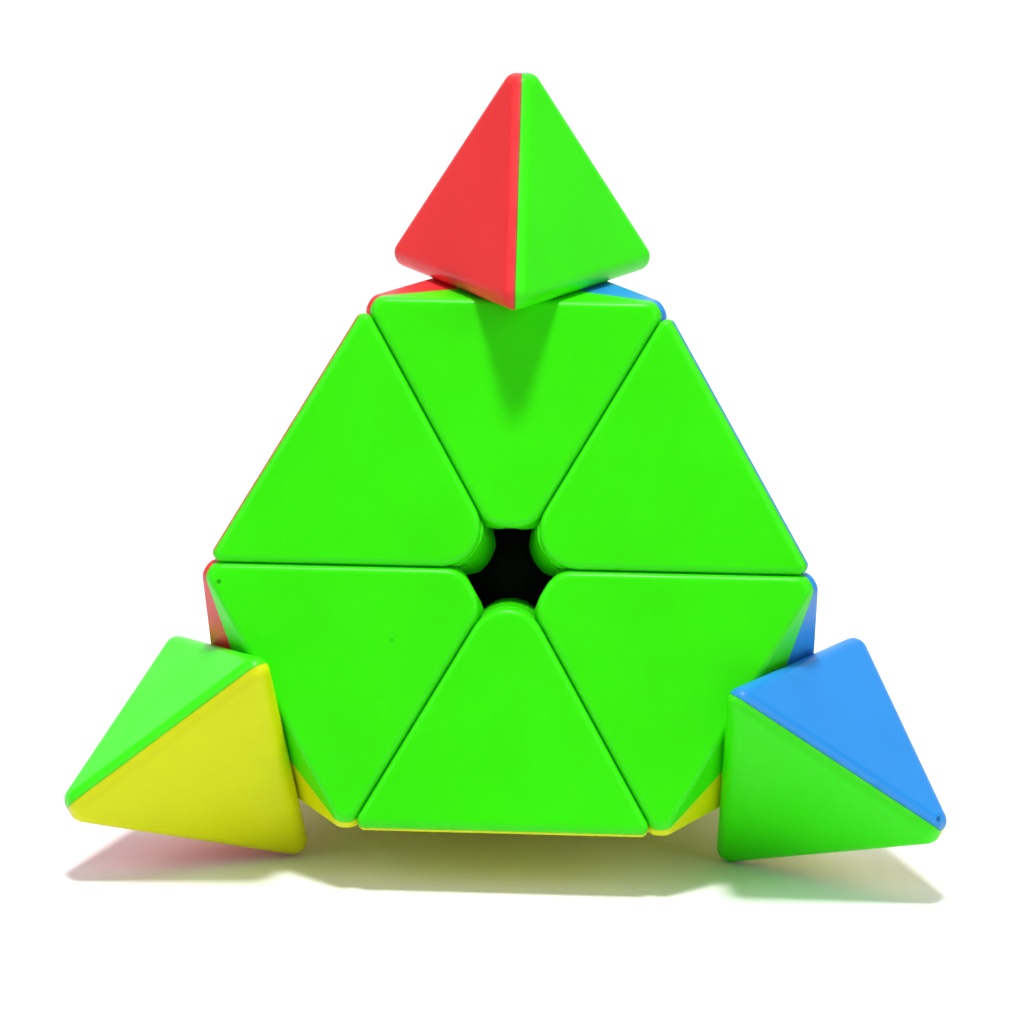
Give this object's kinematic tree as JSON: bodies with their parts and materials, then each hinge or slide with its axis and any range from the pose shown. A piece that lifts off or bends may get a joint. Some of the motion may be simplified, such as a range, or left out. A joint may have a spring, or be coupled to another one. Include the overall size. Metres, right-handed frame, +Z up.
{
  "type": "pyramid twisty puzzle",
  "caption": "Stickerless tetrahedral twist puzzle with turning layers and tips round a sprung core, stored with its tips part turned.",
  "frame": {"origin": "middle of the bounding box on the surface that the tip corners stand on; the centre of the core is at (0, -0.011578, 0.026748) m", "axes": "+Z up through the top tip and the top arm of the core; -Y is the way the green face looks; +X to its right"},
  "size_m": [0.0927, 0.0828, 0.0828],
  "materials": {
    "green_plastic": "satin moulded, coloured through",
    "red_plastic": "satin moulded, coloured through",
    "blue_plastic": "satin moulded, coloured through",
    "yellow_plastic": "satin moulded, coloured through",
    "black_plastic": "fine moulded",
    "steel": "bright zinc"
  },
  "bodies": {
    "root": {"core": "black_plastic", "core_screws": "steel", "tension_springs": "steel", "tension_washers": "steel"},
    "top_axial": {"top_axial_blue_shell": "blue_plastic", "top_axial_green_shell": "green_plastic", "top_axial_hub": "black_plastic", "top_axial_red_shell": "red_plastic"},
    "top_tip": {"top_tip_blue_shell": "blue_plastic", "top_tip_green_shell": "green_plastic", "top_tip_hub": "black_plastic", "top_tip_red_shell": "red_plastic"},
    "left_axial": {"left_axial_green_shell": "green_plastic", "left_axial_hub": "black_plastic", "left_axial_red_shell": "red_plastic", "left_axial_yellow_shell": "yellow_plastic"},
    "left_tip": {"left_tip_green_shell": "green_plastic", "left_tip_hub": "black_plastic", "left_tip_red_shell": "red_plastic", "left_tip_yellow_shell": "yellow_plastic"},
    "right_axial": {"right_axial_blue_shell": "blue_plastic", "right_axial_green_shell": "green_plastic", "right_axial_hub": "black_plastic", "right_axial_yellow_shell": "yellow_plastic"},
    "right_tip": {"right_tip_blue_shell": "blue_plastic", "right_tip_green_shell": "green_plastic", "right_tip_hub": "black_plastic", "right_tip_yellow_shell": "yellow_plastic"},
    "back_axial": {"back_axial_blue_shell": "blue_plastic", "back_axial_hub": "black_plastic", "back_axial_red_shell": "red_plastic", "back_axial_yellow_shell": "yellow_plastic"},
    "back_tip": {"back_tip_blue_shell": "blue_plastic", "back_tip_hub": "black_plastic", "back_tip_red_shell": "red_plastic", "back_tip_yellow_shell": "yellow_plastic"},
    "upper_left_edge": {"upper_left_edge_foot": "black_plastic", "upper_left_edge_green_shell": "green_plastic", "upper_left_edge_red_shell": "red_plastic"},
    "upper_right_edge": {"upper_right_edge_blue_shell": "blue_plastic", "upper_right_edge_foot": "black_plastic", "upper_right_edge_green_shell": "green_plastic"},
    "upper_back_edge": {"upper_back_edge_blue_shell": "blue_plastic", "upper_back_edge_foot": "black_plastic", "upper_back_edge_red_shell": "red_plastic"},
    "front_edge": {"front_edge_foot": "black_plastic", "front_edge_green_shell": "green_plastic", "front_edge_yellow_shell": "yellow_plastic"},
    "lower_right_edge": {"lower_right_edge_blue_shell": "blue_plastic", "lower_right_edge_foot": "black_plastic", "lower_right_edge_yellow_shell": "yellow_plastic"},
    "lower_left_edge": {"lower_left_edge_foot": "black_plastic", "lower_left_edge_red_shell": "red_plastic", "lower_left_edge_yellow_shell": "yellow_plastic"}
  },
  "joints": [
    {"name": "top_layer_turn", "type": "hinge", "parent": "root", "child": "top_axial", "pos_m": [0, -0.01158, 0.02675], "axis": [0, 0, 1], "range_deg": [-240, 120]},
    {"name": "left_layer_turn", "type": "hinge", "parent": "root", "child": "left_axial", "pos_m": [0, -0.01158, 0.02675], "axis": [-0.8165, -0.4714, -0.3333], "range_deg": [-240, 120]},
    {"name": "right_layer_turn", "type": "hinge", "parent": "root", "child": "right_axial", "pos_m": [0, -0.01158, 0.02675], "axis": [0.8165, -0.4714, -0.3333], "range_deg": [-240, 120]},
    {"name": "back_layer_turn", "type": "hinge", "parent": "root", "child": "back_axial", "pos_m": [0, -0.01158, 0.02675], "axis": [0, 0.9428, -0.3333], "range_deg": [-240, 120]},
    {"name": "top_tip_turn", "type": "hinge", "parent": "top_axial", "child": "top_tip", "pos_m": [0, -0.01158, 0.02675], "axis": [0, 0, 1], "continuous": true},
    {"name": "left_tip_turn", "type": "hinge", "parent": "left_axial", "child": "left_tip", "pos_m": [0, -0.01158, 0.02675], "axis": [-0.8165, -0.4714, -0.3333], "continuous": true},
    {"name": "right_tip_turn", "type": "hinge", "parent": "right_axial", "child": "right_tip", "pos_m": [0, -0.01158, 0.02675], "axis": [0.8165, -0.4714, -0.3333], "continuous": true},
    {"name": "back_tip_turn", "type": "hinge", "parent": "back_axial", "child": "back_tip", "pos_m": [0, -0.01158, 0.02675], "axis": [0, 0.9428, -0.3333], "continuous": true},
    {"name": "upper_left_edge_with_left_layer", "type": "hinge", "parent": "top_axial", "child": "upper_left_edge", "pos_m": [0, -0.01158, 0.02675], "axis": [-0.8165, -0.4714, -0.3333], "range_deg": [-240, 120]},
    {"name": "upper_right_edge_with_right_layer", "type": "hinge", "parent": "top_axial", "child": "upper_right_edge", "pos_m": [0, -0.01158, 0.02675], "axis": [0.8165, -0.4714, -0.3333], "range_deg": [-240, 120]},
    {"name": "upper_back_edge_with_back_layer", "type": "hinge", "parent": "top_axial", "child": "upper_back_edge", "pos_m": [0, -0.01158, 0.02675], "axis": [0, 0.9428, -0.3333], "range_deg": [-240, 120]},
    {"name": "front_edge_with_right_layer", "type": "hinge", "parent": "left_axial", "child": "front_edge", "pos_m": [0, -0.01158, 0.02675], "axis": [0.8165, -0.4714, -0.3333], "range_deg": [-240, 120]},
    {"name": "lower_right_edge_with_back_layer", "type": "hinge", "parent": "right_axial", "child": "lower_right_edge", "pos_m": [0, -0.01158, 0.02675], "axis": [0, 0.9428, -0.3333], "range_deg": [-240, 120]},
    {"name": "lower_left_edge_with_left_layer", "type": "hinge", "parent": "back_axial", "child": "lower_left_edge", "pos_m": [0, -0.01158, 0.02675], "axis": [-0.8165, -0.4714, -0.3333], "range_deg": [-240, 120]}
  ],
  "couplings": [
    {"joint": "upper_left_edge_with_left_layer", "follows": "left_layer_turn", "ratio": 1},
    {"joint": "upper_right_edge_with_right_layer", "follows": "right_layer_turn", "ratio": 1},
    {"joint": "upper_back_edge_with_back_layer", "follows": "back_layer_turn", "ratio": 1},
    {"joint": "front_edge_with_right_layer", "follows": "right_layer_turn", "ratio": 1},
    {"joint": "lower_right_edge_with_back_layer", "follows": "back_layer_turn", "ratio": 1},
    {"joint": "lower_left_edge_with_left_layer", "follows": "left_layer_turn", "ratio": 1}
  ]
}
